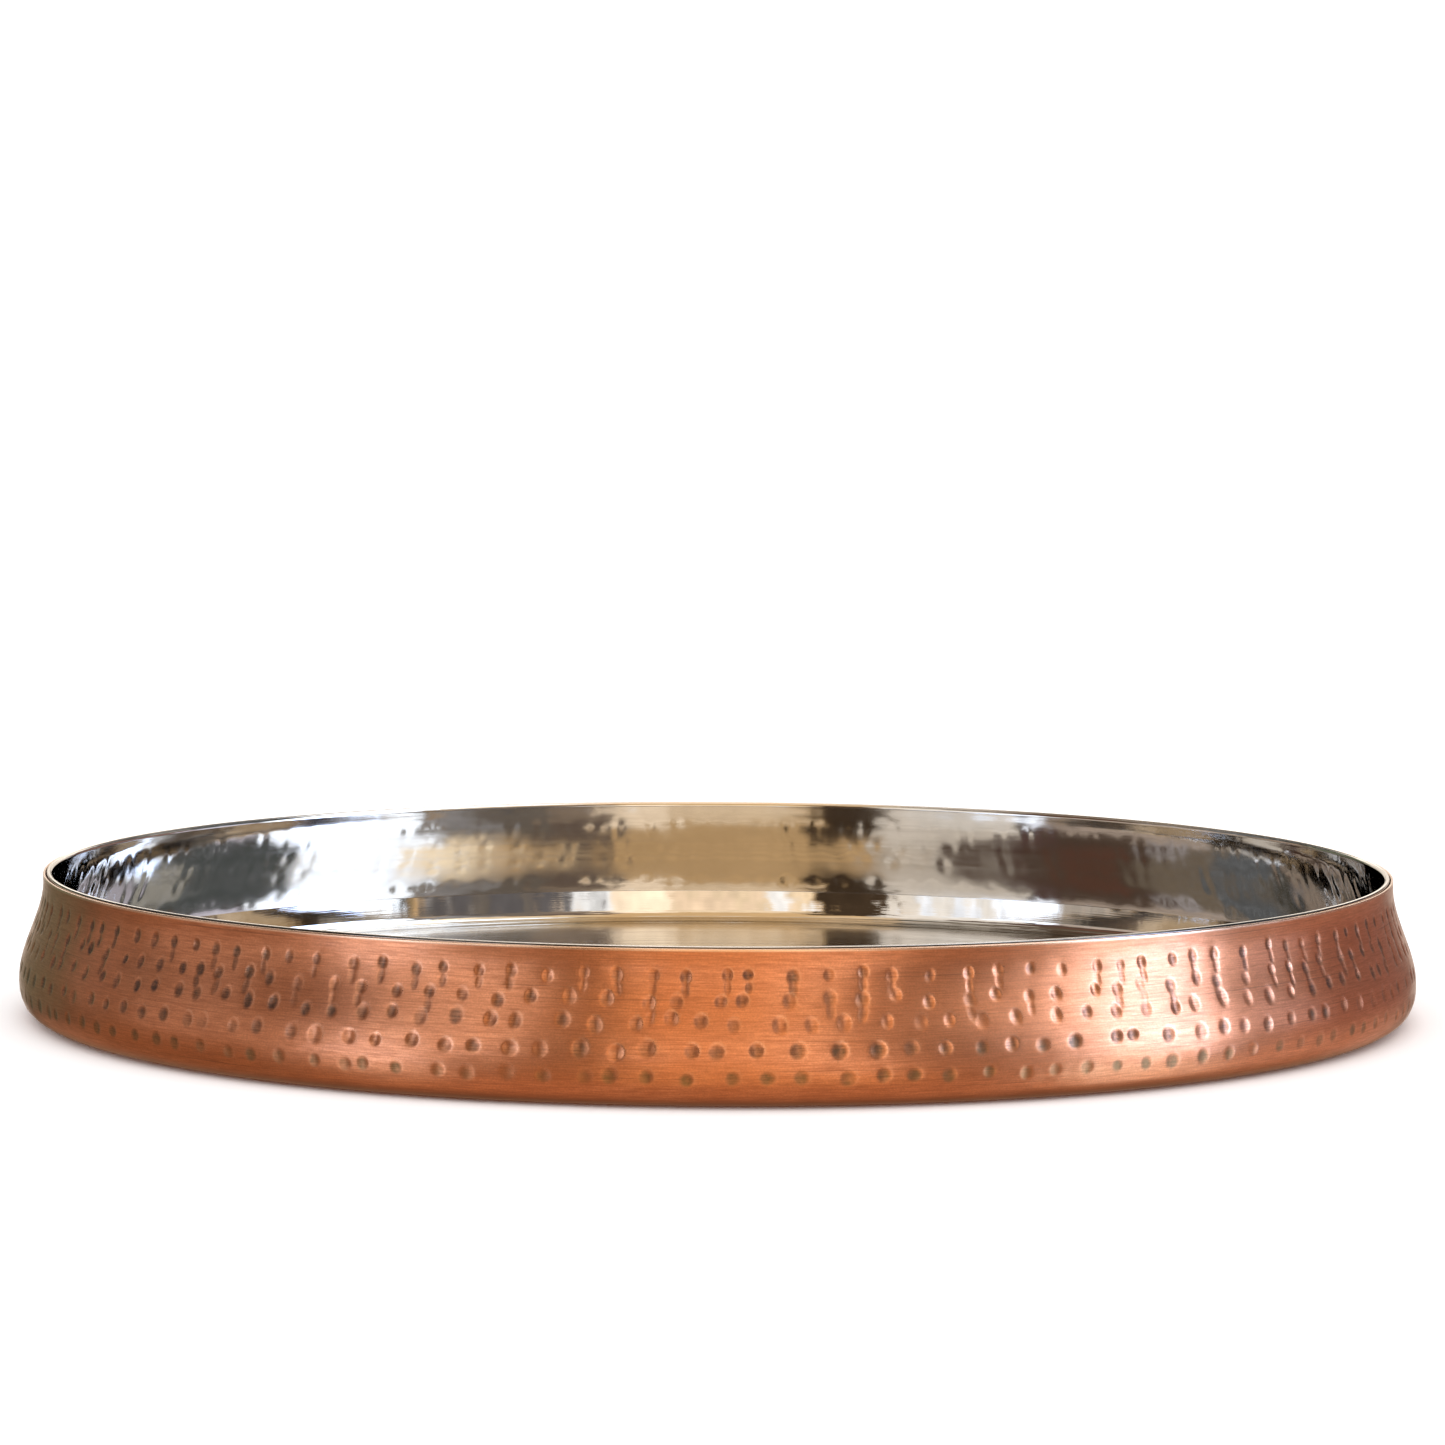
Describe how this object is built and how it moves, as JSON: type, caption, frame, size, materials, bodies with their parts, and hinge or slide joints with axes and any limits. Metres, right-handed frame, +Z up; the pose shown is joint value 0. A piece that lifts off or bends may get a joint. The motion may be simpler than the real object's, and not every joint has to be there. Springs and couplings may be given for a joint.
{
  "type": "hammered copper tray",
  "caption": "Round shallow double-walled serving tray: hammered copper outside, polished steel pan inside, belly wider than the mouth.",
  "frame": {"origin": "centre of the flat underside, on the surface the tray stands on", "axes": "+Z up out of the tray along its axis of revolution; X and Y lie in the base and are interchangeable, +Y away from the usual viewer"},
  "size_m": [0.305, 0.305, 0.0313],
  "materials": {
    "satin_copper": "satin",
    "polished_steel": "polished"
  },
  "bodies": {
    "root": {"outer_copper_shell": "satin_copper", "inner_steel_pan": "polished_steel"}
  },
  "joints": []
}
